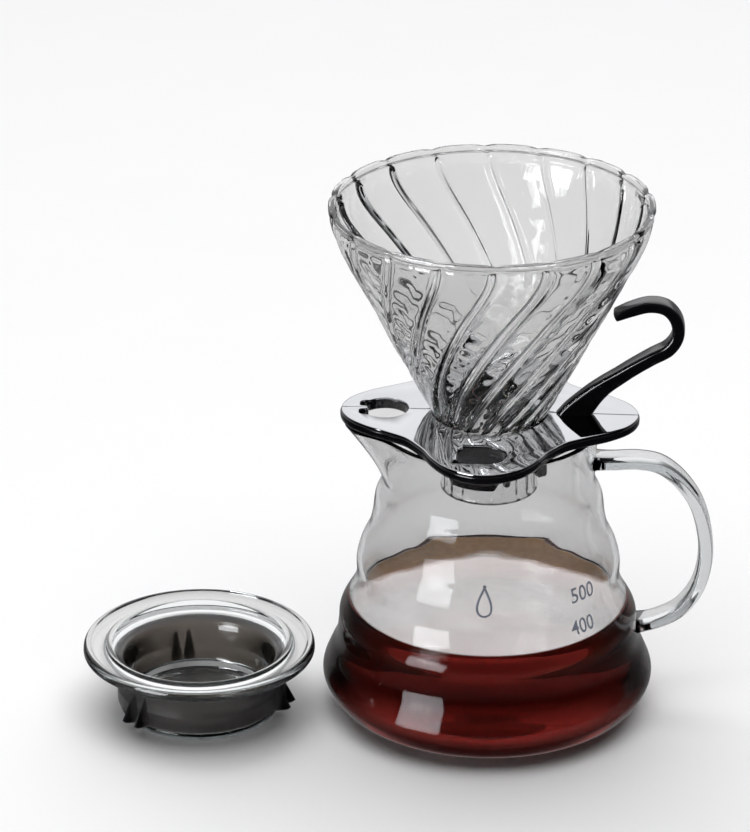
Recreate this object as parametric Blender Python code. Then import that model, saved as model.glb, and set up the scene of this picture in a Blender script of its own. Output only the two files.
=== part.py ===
"""Pour over coffee set: a glass dripper standing on its glass server, with the server's lid beside it.

Metres, +Z up. The origin is the centre of the server's flat foot, +X points along the server's
handle and -Y to the front. The dripper is turned a few degrees about the shared upright axis.
"""

from math import atan2, cos, degrees, exp, hypot, pi, radians, sin, sqrt

import bmesh
import bpy
from mathutils import Vector

MM = 0.001
GAP = 0.3  # clearance between pieces that touch, in millimetres like every size below

# Server
SERVER_WALL = 2.0
SERVER_STEPS = 44
INSIDE_FLOOR = 2.6
FLOOR_RADIUS = 42.0
SERVER_OUTLINE = (  # (height, outer radius) where the blown bulges turn
    (0.0, 40.6), (1.5, 47.6), (4.0, 54.6), (8.0, 58.3), (13.5, 60.3), (20.0, 58.1),
    (26.0, 55.4), (33.0, 54.4), (38.0, 53.8), (45.0, 49.9), (51.0, 47.9), (58.0, 47.8),
    (64.0, 46.2), (70.0, 43.4), (76.0, 42.0), (83.0, 41.1), (88.0, 38.9), (92.0, 38.2),
    (100.0, 38.4), (111.7, 39.6),
)
SPOUT_FROM = 90.0
SPOUT_REACH = 13.0
SPOUT_HALF_ANGLE = 17.0
COFFEE_TOP = 41.5

# Server handle: a flattened glass loop
GRIP_ANGLE = -2.0
GRIP_THICK = 5.4
GRIP_WIDE = 11.0
GRIP_PATH = (  # (distance from the axis, height) of its middle line
    (34.0, 97.0), (54.0, 97.4), (62.5, 95.4), (70.5, 88.2), (76.3, 77.5), (78.9, 62.0),
    (76.6, 48.4), (70.0, 38.4), (61.0, 33.4), (48.0, 31.5),
)

# Dripper
DRIPPER_TURN = -4.0
CONE_WALL = 2.2
RIM_RADIUS = 58.0
RIM_TOP = 196.6
BEAD_RADIUS = 1.4
SHOULDER_RADIUS = 20.4
SHOULDER_BOTTOM = 111.5
NECK_RADIUS = 17.2
NECK_BOTTOM = 86.6

# Base plate
PLATE_TOP = 116.0
PLATE_BOTTOM = 112.0
GASKET_SEAT = 109.0
CUT_LOW = 100.0
CUT_HIGH = 120.0
PLATE_LOBES = (  # (angle, radius) over one quarter of the outline, side lobe to front lobe
    (0, 53.8), (10, 51.7), (20, 46.7), (30, 41.5), (42, 38.5), (56, 40.7), (66, 45.8),
    (77, 51.8), (90, 55.0),
)
COVER_INSET = 0.4
COVER_THICK = 0.8
COVER_CLEAR = 0.4
HOLE_X = -37.6
HOLE_RADIUS = 8.2
NOTCH_LEFT = -46.6
NOTCH_HALF = 5.8
WINDOW_NEAR = 30.0
WINDOW_FAR = 45.0
WINDOW_LEFT = -9.5
WINDOW_RIGHT = 7.7
HUB_BOTTOM = 104.0
HUB_RADIUS = 22.5
TAB_RADIUS = 34.6
TAB_THICK = 2.4
TABS = (  # (angle, width, bottom)
    (-88.0, 15.0, 102.5), (-56.5, 3.6, 104.8), (92.0, 15.0, 102.5), (123.5, 3.6, 104.8),
)

# Lock ring
LOCK_INNER = 17.5
LOCK_OUTER = 18.6
LOCK_FLANGE = 21.0
LUG_COUNT = 3
LUG_ANGLE = 62.0
LUG_MIDDLE = 252.0
LUG_BOTTOM = 93.0
LOCK_BOTTOM = 98.0

# Hook handle
HOOK_PATH = (  # (distance from the axis, height, thickness, width) along its middle line
    (44.1, 154.7, 3.6, 7.2), (49.9, 157.3, 4.1, 8.2), (56.4, 159.2, 4.2, 8.6),
    (62.3, 158.2, 4.3, 8.6), (66.0, 153.8, 4.5, 8.6), (66.6, 148.0, 4.7, 8.6),
    (63.6, 142.8, 4.9, 8.6), (57.6, 139.1, 5.0, 8.4), (51.2, 134.9, 5.2, 7.9),
    (45.7, 130.9, 5.6, 7.3), (41.6, 127.9, 6.2, 6.9), (37.5, 124.2, 7.5, 6.5),
    (33.7, 119.9, 9.2, 6.1), (30.5, 115.9, 10.6, 6.0), (27.6, 111.6, 11.4, 6.0),
)
SCREWS_AT = (28.0, 34.2)  # distances from the axis, in the middle of the handle's foot
SCREW_RADIUS = 1.25
SCREW_HEAD = 2.3
COUNTERBORE = 1.6
THREAD_LENGTH = 1.6

# Lid
LID_X = -105.5
LID_Y = -5.0
LID_OUTLINE = (  # (radius, height), from the middle of the base outwards, over the flange and in
    (0.0, 0.0), (28.4, 0.0), (29.3, 0.9), (29.2, 2.4), (28.2, 3.0), (28.2, 18.4), (30.6, 20.6),
    (36.0, 21.6), (41.6, 22.4), (42.3, 24.2), (41.6, 25.8), (40.2, 26.2), (38.8, 25.2),
    (35.0, 25.0), (33.6, 25.9), (32.2, 25.5), (31.0, 24.0), (27.2, 19.6), (25.4, 15.0),
    (23.6, 7.0), (20.4, 3.4), (15.0, 2.8), (0.0, 2.8),
)
BAND_INNER = 28.5
BAND_OUTER = 30.2
BAND_BOTTOM = 3.2
BAND_TOP = 18.1
BAND_LIP = ((30.2, 16.4), (31.4, 18.4), (34.0, 20.2), (34.0, 20.9), (30.8, 20.2))
FIN_PAIRS = (225.0, 345.0, 105.0)
FIN_SPREAD = 5.0
FIN_HALF = 2.6
FIN_TOP = 14.5
FIN_BOTTOM = 2.4
FIN_REACH = 35.8

ROUND_STEPS = 40


def smooth(points, steps):
    """Points on a curve that passes through the given ones, with steps points to each stretch."""
    made = []
    last = len(points) - 1
    for i in range(last):
        before = points[max(i - 1, 0)]
        start, end = points[i], points[i + 1]
        after = points[min(i + 2, last)]
        for k in range(steps):
            t = k / steps
            made.append(
                tuple(
                    0.5 * (2 * b + (c - a) * t + (2 * a - 5 * b + 4 * c - d) * t * t
                           + (3 * b - a - 3 * c + d) * t ** 3)
                    for a, b, c, d in zip(before, start, end, after)
                )
            )
    made.append(tuple(points[-1]))
    return made


def inset(outline, distance, closed=False):
    """The outline moved sideways, to the left of its own direction, by the distance."""
    moved = []
    count = len(outline)
    for i, (x, y) in enumerate(outline):
        before = outline[i - 1] if closed or i else outline[i]
        after = outline[(i + 1) % count] if closed or i < count - 1 else outline[i]
        dx, dy = after[0] - before[0], after[1] - before[1]
        length = hypot(dx, dy)
        moved.append((x - dy / length * distance, y + dx / length * distance))
    return moved


def material(name, colour, roughness, metallic=0.0, clear=0.0):
    made = bpy.data.materials.new(name)
    made.use_nodes = True
    shader = made.node_tree.nodes["Principled BSDF"]
    shader.inputs["Base Color"].default_value = (*colour, 1.0)
    shader.inputs["Roughness"].default_value = roughness
    shader.inputs["Metallic"].default_value = metallic
    shader.inputs["Transmission Weight"].default_value = clear
    return made


def finish_mesh(bm, name, finish, parent=None):
    """A new object from a bmesh in millimetres: faces outwards, round stretches shaded smooth."""
    bmesh.ops.recalc_face_normals(bm, faces=bm.faces)
    bmesh.ops.scale(bm, vec=(MM, MM, MM), verts=bm.verts)
    mesh = bpy.data.meshes.new(name)
    bm.to_mesh(mesh)
    bm.free()
    mesh.shade_smooth()
    mesh.set_sharp_from_angle(angle=radians(35))
    if finish:
        mesh.materials.append(finish)
    made = bpy.data.objects.new(name, mesh)
    bpy.context.scene.collection.objects.link(made)
    made.parent = parent
    return made


def turned(name, profile, finish, parent=None, steps=ROUND_STEPS, radius_at=None):
    """A solid turned about Z from (radius, height) points. A profile that meets the axis at both
    ends is capped there, and any other one is closed on itself."""
    bm = bmesh.new()
    rings = []
    for radius, height in profile:
        if radius < 1e-6:
            rings.append([bm.verts.new((0, 0, height))])
            continue
        ring = []
        for k in range(steps):
            angle = 2 * pi * k / steps
            out = radius_at(radius, height, angle) if radius_at else radius
            ring.append(bm.verts.new((out * cos(angle), out * sin(angle), height)))
        rings.append(ring)
    pairs = list(zip(rings, rings[1:]))
    if len(rings[0]) > 1:
        pairs.append((rings[-1], rings[0]))
    for low, high in pairs:
        for k in range(steps):
            n = (k + 1) % steps
            if len(low) == 1:
                bm.faces.new((low[0], high[n], high[k]))
            elif len(high) == 1:
                bm.faces.new((low[k], low[n], high[0]))
            else:
                bm.faces.new((low[k], low[n], high[n], high[k]))
    return finish_mesh(bm, name, finish, parent)


def prism(name, outline, bottom, top, finish, parent=None):
    """A flat outline of (x, y) points raised between two heights."""
    bm = bmesh.new()
    low = [bm.verts.new((x, y, bottom)) for x, y in outline]
    high = [bm.verts.new((x, y, top)) for x, y in outline]
    count = len(outline)
    bm.faces.new(low[::-1])
    bm.faces.new(high)
    for k in range(count):
        n = (k + 1) % count
        bm.faces.new((low[k], low[n], high[n], high[k]))
    return finish_mesh(bm, name, finish, parent)


def swept(name, path, finish, parent=None, sides=12, squareness=3.0):
    """A strap along (x, z, thickness, width) points in the XZ plane, with rounded edges."""
    bm = bmesh.new()
    rings = []
    count = len(path)
    for i, (x, z, thick, wide) in enumerate(path):
        before, after = path[max(i - 1, 0)], path[min(i + 1, count - 1)]
        along = Vector((after[0] - before[0], 0, after[1] - before[1])).normalized()
        across = along.cross(Vector((0, 1, 0)))
        ring = []
        for k in range(sides):
            angle = 2 * pi * (k + 0.5) / sides
            c, s = cos(angle), sin(angle)
            u = abs(c) ** (2 / squareness) * (1 if c > 0 else -1) * thick / 2
            v = abs(s) ** (2 / squareness) * (1 if s > 0 else -1) * wide / 2
            ring.append(bm.verts.new(Vector((x, 0, z)) + across * u + Vector((0, v, 0))))
        rings.append(ring)
    for low, high in zip(rings, rings[1:]):
        for k in range(sides):
            n = (k + 1) % sides
            bm.faces.new((low[k], low[n], high[n], high[k]))
    bm.faces.new(rings[0][::-1])
    bm.faces.new(rings[-1])
    return finish_mesh(bm, name, finish, parent)


def combine(target, operation, *others):
    """Boolean modifiers on the target, one to each helper, which is then hidden."""
    for other in others:
        other.hide_render = True
        other.display_type = "WIRE"
        change = target.modifiers.new(other.name, "BOOLEAN")
        change.operation = operation
        change.solver = "EXACT"
        change.object = other
    return target


def empty(name, location=(0, 0, 0), turn=0.0):
    made = bpy.data.objects.new(name, None)
    made.location = [value * MM for value in location]
    made.rotation_euler = (0, 0, radians(turn))
    bpy.context.scene.collection.objects.link(made)
    return made


def server_outline():
    """The jug's outer profile as (radius, height), from the foot to the rim."""
    return [(radius, height) for height, radius in SERVER_OUTLINE]


def with_spout(radius, height, angle):
    """The neck's radius, drawn out into the pouring spout on the side away from the handle."""
    rise = max(0.0, (height - SPOUT_FROM) / (SERVER_OUTLINE[-1][0] - SPOUT_FROM))
    off_axis = degrees(angle - pi) / SPOUT_HALF_ANGLE
    return radius + SPOUT_REACH * rise ** 1.15 * exp(-off_axis * off_axis)


def make_server(glass, brew):
    outer = server_outline()
    inner = inset(outer, SERVER_WALL)
    floor = [(radius, height) for radius, height in inner if height > INSIDE_FLOOR + 1]
    hollow = [(0.0, INSIDE_FLOOR), (FLOOR_RADIUS, INSIDE_FLOOR)] + floor
    hollow[-1] = (hollow[-1][0], outer[-1][1])
    turned(
        "server_glass",
        [(0.0, 0.0)] + outer + hollow[::-1],
        glass,
        steps=SERVER_STEPS,
        radius_at=with_spout,
    )

    jug_side = [(radius + GAP, height) for radius, height in outer]
    below = -2.0
    jug_side = [(0.0, below), (jug_side[0][0], below)] + jug_side
    clear = turned("grip_clearance", jug_side + [(0.0, outer[-1][1])], None)
    path = [(x, z, GRIP_THICK, GRIP_WIDE) for x, z in smooth(GRIP_PATH, 2)]
    grip = swept("server_handle", path, glass, empty("grip_line", turn=GRIP_ANGLE))
    combine(grip, "DIFFERENCE", clear)

    wet = [(radius - GAP, height) for radius, height in floor if height < COFFEE_TOP]
    (low_radius, low), (high_radius, high) = wet[-1], floor[len(wet)]
    part = (COFFEE_TOP - low) / (high - low)
    surface = (low_radius + part * (high_radius - GAP - low_radius), COFFEE_TOP)
    bottom = INSIDE_FLOOR + GAP
    turned(
        "coffee",
        [(0.0, bottom), (FLOOR_RADIUS - GAP, bottom)] + wet + [surface, (0.0, COFFEE_TOP)],
        brew,
        steps=SERVER_STEPS,
    )


def cone_outline():
    """The cone's outer profile as (radius, height), from the outlet up to the rim."""
    straight = [(SHOULDER_RADIUS, PLATE_TOP), (36.2, 147.0), (46.8, 168.0), (54.0, 182.0)]
    top = [(56.6, 189.8), (RIM_RADIUS - BEAD_RADIUS, RIM_TOP - 2 * BEAD_RADIUS)]
    neck = [
        (NECK_RADIUS - 0.6, NECK_BOTTOM), (NECK_RADIUS, NECK_BOTTOM + 0.8),
        (NECK_RADIUS, SHOULDER_BOTTOM), (SHOULDER_RADIUS, SHOULDER_BOTTOM + 1.2),
    ]
    return neck, straight + top


def make_cone(glass, dripper):
    neck, wall = cone_outline()
    outer_wall = smooth(wall, 2)
    bead_x = RIM_RADIUS - BEAD_RADIUS
    bead_z = RIM_TOP - BEAD_RADIUS
    bead = [
        (bead_x + BEAD_RADIUS * cos(a), bead_z + BEAD_RADIUS * sin(a))
        for a in (radians(step) for step in range(-60, 241, 60))
    ]
    inner_wall = [
        (radius, height)
        for radius, height in inset(outer_wall, CONE_WALL)
        if PLATE_TOP + 1 < height < RIM_TOP - 2.6 * BEAD_RADIUS
    ]
    outlet = [
        (NECK_RADIUS - CONE_WALL, PLATE_BOTTOM), (NECK_RADIUS - CONE_WALL, NECK_BOTTOM),
    ]
    turned("dripper_glass", neck + outer_wall + bead + inner_wall[::-1] + outlet, glass, dripper)


def plate_outline():
    """The plate's four-lobed outline, counter-clockwise from the side lobe."""
    quarter = [(a, r) for a, r in PLATE_LOBES]
    half = quarter + [(180 - a, r) for a, r in quarter[-2::-1]]
    whole = half + [(a + 180, r) for a, r in half[1:]]
    second = quarter[1]
    around = smooth([(-second[0], second[1])] + whole + [(360 + second[0], second[1])], 3)
    return [
        (r * cos(radians(a)), r * sin(radians(a))) for a, r in around if -0.01 <= a < 359.9
    ]


def circle(x, y, radius, steps=32, start=0.0, sweep=360.0):
    count = steps if sweep == 360.0 else steps + 1
    angles = [radians(start + sweep * k / steps) for k in range(count)]
    return [(x + radius * cos(a), y + radius * sin(a)) for a in angles]


def finger_hole(grow=0.0):
    """The round hole in the side lobe, joined to the notch beside it."""
    meet = degrees(atan2(sqrt(HOLE_RADIUS ** 2 - NOTCH_HALF ** 2), NOTCH_HALF)) + 90
    arc = circle(HOLE_X, 0, HOLE_RADIUS + grow, 24, -meet, 2 * meet)
    half = NOTCH_HALF + grow
    left = NOTCH_LEFT - grow
    return arc + [(left + 2, half), (left, half - 2), (left, 2 - half), (left + 2, -half)]


def window(side, grow=0.0):
    """The D-shaped sight window in the front (side -1) or rear (side 1) lobe."""
    half = (WINDOW_FAR - WINDOW_NEAR) / 2
    middle = side * (WINDOW_NEAR + half)
    arc = circle(WINDOW_RIGHT - half, middle, half + grow, 16, -90, 180)
    left = WINDOW_LEFT - grow
    return arc + [(left, middle + half + grow), (left, middle - half - grow)]


def make_plate(black, steel, dripper):
    outline = plate_outline()
    cover_bottom = PLATE_TOP - COVER_THICK
    plate = prism("base_plate", outline, PLATE_BOTTOM, cover_bottom - GAP, black, dripper)
    hub = turned(
        "hub",
        [
            (NECK_RADIUS + 0.4, HUB_BOTTOM), (HUB_RADIUS, HUB_BOTTOM),
            (HUB_RADIUS, PLATE_BOTTOM + 1), (NECK_RADIUS + 0.4, PLATE_BOTTOM + 1),
        ],
        None,
        dripper,
    )
    bore = turned(
        "cone_bore",
        [
            (0.0, GASKET_SEAT), (SHOULDER_RADIUS + 0.4, GASKET_SEAT),
            (SHOULDER_RADIUS + 0.4, CUT_HIGH), (0.0, CUT_HIGH),
        ],
        None,
        dripper,
    )
    tabs = []
    for number, (angle, wide, bottom) in enumerate(TABS, 1):
        spread = degrees(wide / TAB_RADIUS / 2)
        outer = circle(0, 0, TAB_RADIUS + TAB_THICK / 2, 6, angle - spread, 2 * spread)
        inner = circle(0, 0, TAB_RADIUS - TAB_THICK / 2, 6, angle - spread, 2 * spread)
        tabs.append(
            prism(f"tab_{number}", outer + inner[::-1], bottom, PLATE_BOTTOM + 1, None, dripper)
        )
    openings = [prism("hole_cut", finger_hole(), CUT_LOW, CUT_HIGH, None, dripper)]
    for side, word in ((-1, "front"), (1, "rear")):
        openings.append(
            prism(f"window_cut_{word}", window(side), CUT_LOW, CUT_HIGH, None, dripper)
        )
    shanks = []
    for number, x in enumerate(SCREWS_AT, 1):
        for word, radius, top in (
            ("shank", SCREW_RADIUS, CUT_HIGH), ("head", SCREW_HEAD, PLATE_BOTTOM + COUNTERBORE)
        ):
            hole = circle(x, 0, radius + GAP)
            shanks.append(prism(f"{word}_cut_{number}", hole, CUT_LOW, top, None, dripper))
    combine(plate, "UNION", hub, *tabs)
    combine(plate, "DIFFERENCE", bore, *openings, *shanks)

    cover_outline = inset(outline, COVER_INSET, closed=True)
    for side, word in ((-1, "front"), (1, "rear")):
        cover = prism(f"cover_{word}", cover_outline, cover_bottom, PLATE_TOP, steel, dripper)
        far = 70.0
        seam = side * GAP / 2
        cuts = (
            ("half", [(-far, seam), (far, seam), (far, -side * far), (-far, -side * far)]),
            ("bore", circle(0, 0, SHOULDER_RADIUS + 0.7, ROUND_STEPS)),
            ("hole", finger_hole(COVER_CLEAR)),
            ("window", window(side, COVER_CLEAR)),
            *(("screw", circle(x, 0, SCREW_RADIUS + GAP)) for x in SCREWS_AT),
        )
        for cut, shape in cuts:
            cutter = prism(f"cover_{cut}_{word}", shape, CUT_LOW, CUT_HIGH, None, dripper)
            combine(cover, "DIFFERENCE", cutter)


def make_gasket(rubber, dripper):
    inner, outer = NECK_RADIUS + 0.5, SHOULDER_RADIUS + 0.1
    bottom, top = GASKET_SEAT + GAP, SHOULDER_BOTTOM - GAP
    turned(
        "outlet_gasket",
        [(inner, bottom), (outer, bottom), (outer, top), (inner, top)],
        rubber,
        dripper,
    )


def make_lock_ring(black, dripper):
    """A thin skirt under a flange. Its lower edge steps down in lugs."""
    top = HUB_BOTTOM - GAP

    def lower_edge(angle):
        away = 360.0
        for lug in range(LUG_COUNT):
            middle = LUG_MIDDLE + 360.0 * lug / LUG_COUNT
            turn = (degrees(angle) - middle + 180) % 360 - 180
            away = min(away, abs(turn))
        part = min(max((LUG_ANGLE / 2 + 6 - away) / 12, 0.0), 1.0)
        return LOCK_BOTTOM + (LUG_BOTTOM - LOCK_BOTTOM) * part

    bm = bmesh.new()
    steps = 48
    profile = (
        (LOCK_INNER, None), (LOCK_OUTER, None), (LOCK_OUTER, top - 3), (LOCK_FLANGE, top - 2.4),
        (LOCK_FLANGE, top), (LOCK_INNER, top),
    )
    rings = []
    for radius, height in profile:
        ring = []
        for k in range(steps):
            angle = 2 * pi * k / steps
            z = lower_edge(angle) if height is None else height
            ring.append(bm.verts.new((radius * cos(angle), radius * sin(angle), z)))
        rings.append(ring)
    for low, high in zip(rings, rings[1:] + rings[:1]):
        for k in range(steps):
            n = (k + 1) % steps
            bm.faces.new((low[k], low[n], high[n], high[k]))
    finish_mesh(bm, "lock_ring", black, dripper)


def make_hook(black, steel, dripper):
    path = smooth(HOOK_PATH, 2)
    hook = swept("handle", path, black, dripper, sides=12, squareness=3.2)
    reach = 80.0
    corners = [(0, -reach), (reach, -reach), (reach, reach), (0, reach)]
    under = prism("under_foot", corners, CUT_LOW, PLATE_TOP + GAP, None, dripper)
    combine(hook, "DIFFERENCE", under)
    thread_top = PLATE_TOP + THREAD_LENGTH
    head_bottom = PLATE_BOTTOM + 0.1
    head_top = PLATE_BOTTOM + COUNTERBORE - GAP
    for number, x in enumerate(SCREWS_AT, 1):
        socket = prism(
            f"thread_cut_{number}", circle(x, 0, SCREW_RADIUS + GAP, 16), CUT_LOW,
            thread_top + GAP, None, dripper,
        )
        combine(hook, "DIFFERENCE", socket)
        seat = empty(f"screw_seat_{number}", (x, 0, 0))
        seat.parent = dripper
        turned(
            f"handle_screw_{number}",
            [
                (0.0, head_bottom + 0.6), (1.0, head_bottom + 0.6), (1.0, head_bottom),
                (SCREW_HEAD - 0.4, head_bottom), (SCREW_HEAD, head_bottom + 0.4),
                (SCREW_HEAD, head_top), (SCREW_RADIUS, head_top), (SCREW_RADIUS, thread_top),
                (0.0, thread_top),
            ],
            steel,
            seat,
            steps=16,
        )


def make_lid(glass, silicone):
    seat = empty("lid_seat", (LID_X, LID_Y, 0.0))
    turned("lid_glass", LID_OUTLINE, glass, seat)
    band = turned(
        "lid_gasket",
        [
            (BAND_INNER, BAND_BOTTOM), (BAND_OUTER, BAND_BOTTOM), *BAND_LIP,
            (BAND_INNER, BAND_TOP),
        ],
        silicone,
        seat,
    )
    fins = []
    for pair in FIN_PAIRS:
        for side in (-1, 1):
            angle = radians(pair + side * FIN_SPREAD)
            bm = bmesh.new()
            root = BAND_OUTER - 0.8
            for x, half, height in (
                (root, FIN_HALF, BAND_BOTTOM), (root, 0.6, FIN_TOP), (BAND_OUTER, 0.3, FIN_TOP),
                (FIN_REACH - 0.6, 0.4, FIN_BOTTOM + 2.4), (FIN_REACH, 0.4, FIN_BOTTOM + 1.2),
                (FIN_REACH - 0.8, 0.4, FIN_BOTTOM), (BAND_OUTER, FIN_HALF, FIN_BOTTOM + 0.8),
            ):
                bm.verts.new((x, -half, height))
                bm.verts.new((x, half, height))
            hull = bmesh.ops.convex_hull(bm, input=bm.verts)
            spare = {item for item in hull["geom_interior"] if isinstance(item, bmesh.types.BMVert)}
            bmesh.ops.delete(bm, geom=list(spare), context="VERTS")
            fin = finish_mesh(bm, f"fin_{round(degrees(angle))}", None, seat)
            fin.rotation_euler = (0, 0, angle)
            fins.append(fin)
    combine(band, "UNION", *fins)


def main():
    for old in list(bpy.data.objects):
        bpy.data.objects.remove(old, do_unlink=True)
    clear_glass = material("clear_glass", (0.93, 0.94, 0.95), 0.03, clear=1.0)
    black_plastic = material("black_plastic", (0.012, 0.012, 0.015), 0.22)
    mirror_steel = material("mirror_steel", (0.86, 0.87, 0.88), 0.05, 1.0)
    coffee = material("coffee", (0.09, 0.012, 0.006), 0.05, clear=0.6)
    grey_silicone = material("grey_silicone", (0.10, 0.10, 0.105), 0.5)
    white_silicone = material("white_silicone", (0.7, 0.7, 0.68), 0.5)

    dripper = empty("dripper_axis", turn=DRIPPER_TURN)
    make_server(clear_glass, coffee)
    make_cone(clear_glass, dripper)
    make_plate(black_plastic, mirror_steel, dripper)
    make_gasket(white_silicone, dripper)
    make_lock_ring(black_plastic, dripper)
    make_hook(black_plastic, mirror_steel, dripper)
    make_lid(clear_glass, grey_silicone)


main()
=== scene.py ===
"""Looks of the pour over set: ribbed glass dripper, glass server with coffee, and the glass lid.

Meshes are worked out in millimetres in the row frame and scaled to metres at the end. Places come
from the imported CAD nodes; the curves between them repeat the design's driving dimensions.
"""

from math import atan2, cos, degrees, exp, hypot, log, pi, radians, sin, sqrt

import bmesh
import bpy
import numpy as np
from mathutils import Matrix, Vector, noise


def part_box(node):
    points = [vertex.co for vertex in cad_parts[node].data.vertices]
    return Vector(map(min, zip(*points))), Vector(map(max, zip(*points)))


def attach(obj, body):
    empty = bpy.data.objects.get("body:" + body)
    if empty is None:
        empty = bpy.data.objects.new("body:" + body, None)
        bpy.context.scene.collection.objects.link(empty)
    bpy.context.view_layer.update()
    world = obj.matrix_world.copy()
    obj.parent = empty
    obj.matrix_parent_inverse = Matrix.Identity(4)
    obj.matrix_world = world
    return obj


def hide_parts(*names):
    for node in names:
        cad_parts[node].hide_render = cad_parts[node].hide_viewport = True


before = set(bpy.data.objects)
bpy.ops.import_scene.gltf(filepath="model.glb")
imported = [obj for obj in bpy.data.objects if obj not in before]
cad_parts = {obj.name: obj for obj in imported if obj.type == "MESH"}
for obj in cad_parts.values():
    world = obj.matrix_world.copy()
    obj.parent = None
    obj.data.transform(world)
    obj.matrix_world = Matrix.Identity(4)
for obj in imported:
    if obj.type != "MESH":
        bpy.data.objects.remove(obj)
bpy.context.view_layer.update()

MM = 0.001


def node_box(node):
    """The node's lowest and highest corners in millimetres."""
    low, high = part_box(node)
    return low / MM, high / MM


# Places read from the frame, in millimetres
CONE_LOW, CONE_HIGH = node_box("dripper_glass")
RIM_TOP = CONE_HIGH.z
RIM_RADIUS = (CONE_HIGH.y - CONE_LOW.y) / 2
NECK_BOTTOM = CONE_LOW.z
PLATE_TOP = node_box("cover_front")[1].z
COVER_BOTTOM = node_box("cover_front")[0].z
PLATE_BOTTOM = PLATE_TOP - 4.0
CUT_LOW = PLATE_BOTTOM - 12.0
CUT_HIGH = PLATE_TOP + 4.0
TAB_BOTTOM = node_box("base_plate")[0].z
SERVER_RIM = node_box("server_glass")[1].z
COFFEE_TOP = node_box("coffee")[1].z
LID_LOW, LID_HIGH = node_box("lid_glass")
LID_X = (LID_LOW.x + LID_HIGH.x) / 2
LID_Y = (LID_LOW.y + LID_HIGH.y) / 2
RING_LOW, RING_HIGH = node_box("lock_ring")
GASKET_LOW, GASKET_HIGH = node_box("outlet_gasket")

# Server
SERVER_WALL = 2.0
SERVER_OUTLINE = (
    (0.0, 40.6), (1.5, 47.6), (4.0, 54.6), (8.0, 58.3), (13.5, 60.3), (20.0, 58.1),
    (26.0, 55.4), (33.0, 54.4), (38.0, 53.8), (45.0, 49.9), (51.0, 47.9), (58.0, 47.8),
    (64.0, 46.2), (70.0, 43.4), (76.0, 42.0), (83.0, 41.1), (88.0, 38.9), (92.0, 38.2),
    (100.0, 38.4), (SERVER_RIM - 1.0, 39.6),
)
SPOUT_FROM = 90.0
SPOUT_REACH = 13.0
SPOUT_HALF_ANGLE = 17.0
GRIP_ANGLE = -2.0
GRIP_THICK = 5.4
GRIP_WIDE = 11.0
GRIP_PATH = (
    (37.2, 97.0), (45.0, 97.1), (54.0, 97.4), (62.5, 95.4), (70.5, 88.2), (76.3, 77.5),
    (78.9, 62.0), (76.6, 48.4), (70.0, 38.4), (61.0, 33.4), (53.3, 31.6),
)

# Dripper
DRIPPER_TURN = -4.0
CONE_WALL = 2.2
BEAD_RADIUS = 1.4
SHOULDER_RADIUS = 20.4
SHOULDER_BOTTOM = 111.5
NECK_RADIUS = 17.2
RIB_COUNT = 18
RIB_PHASE = 92.0
RIB_TWIST = 61.0
RIB_HEIGHT = 1.45
RIB_HALF = 0.95
FLUTE_DEPTH = 0.95
FLUTE_HALF = 1.3
RING_WAVES = 13.0

# Plate
PLATE_LOBES = (
    (0, 53.8), (10, 51.7), (20, 46.7), (30, 41.5), (42, 38.5), (56, 40.7), (66, 45.8),
    (77, 51.8), (90, 55.0),
)
HOLE_X = -37.6
HOLE_RADIUS = 8.2
NOTCH_LEFT = -46.6
NOTCH_HALF = 5.8
TONGUE_REACH = 2.3
WINDOW_NEAR = 30.0
WINDOW_FAR = 45.0
WINDOW_LEFT = -9.5
WINDOW_RIGHT = 7.7
COVER_CLEAR = 0.35
HUB_BOTTOM = 104.0
HUB_RADIUS = 22.5
TAB_RADIUS = 34.6
TAB_THICK = 2.4
TABS = ((-88.0, 15.0, 0.0), (-56.5, 3.6, 2.3), (92.0, 15.0, 0.0), (123.5, 3.6, 2.3))

# Hook handle
HOOK_PATH = (
    (44.1, 154.7, 3.6, 7.2), (49.9, 157.3, 4.1, 8.2), (56.4, 159.2, 4.2, 8.6),
    (62.3, 158.2, 4.3, 8.6), (66.0, 153.8, 4.5, 8.6), (66.6, 148.0, 4.7, 8.6),
    (63.6, 142.8, 4.9, 8.6), (57.6, 139.1, 5.0, 8.4), (51.2, 134.9, 5.2, 7.9),
    (45.7, 130.9, 5.6, 7.3), (41.6, 127.9, 6.2, 6.9), (37.5, 124.2, 7.5, 6.5),
    (33.7, 119.9, 9.2, 6.1), (30.5, 115.9, 10.6, 6.0), (27.6, 111.6, 11.4, 6.0),
)
HOOK_TIP = (  # step along and up from the path's start, and the shares of thickness and width
    (0.0, 0.0, 0.62, 0.80), (0.12, 0.05, 0.86, 0.93), (0.45, 0.20, 1.0, 1.0),
)

# Lock ring
RING_INNER = 17.5
RING_OUTER = 18.5
LUG_COUNT = 3
LUG_ANGLE = 62.0
LUG_MIDDLE = 252.0
LUG_DROP = 5.0

# Lid
LID_OUTLINE = (
    (28.4, 0.0), (29.3, 0.9), (29.2, 2.4), (28.2, 3.0), (28.2, 11.0), (28.2, 18.4), (30.6, 20.6),
    (36.0, 21.6), (41.6, 22.4), (42.3, 24.2), (41.6, 25.8), (40.2, 26.2), (38.8, 25.2),
    (35.0, 25.0), (33.6, 25.9), (32.2, 25.5), (31.0, 24.0), (27.2, 19.6), (25.4, 15.0),
    (23.6, 7.0), (20.4, 3.4), (15.0, 2.8),
)
BAND_INNER = 28.3
BAND_OUTER = 30.2
BAND_BOTTOM = 3.2
BAND_TOP = 18.1
FIN_REACH = 35.8
FIN_PAIRS = (225.0, 345.0, 105.0)
FIN_SPREAD = 5.0
FIN_TOP = 14.5


# ---------------------------------------------------------------- curves


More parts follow.
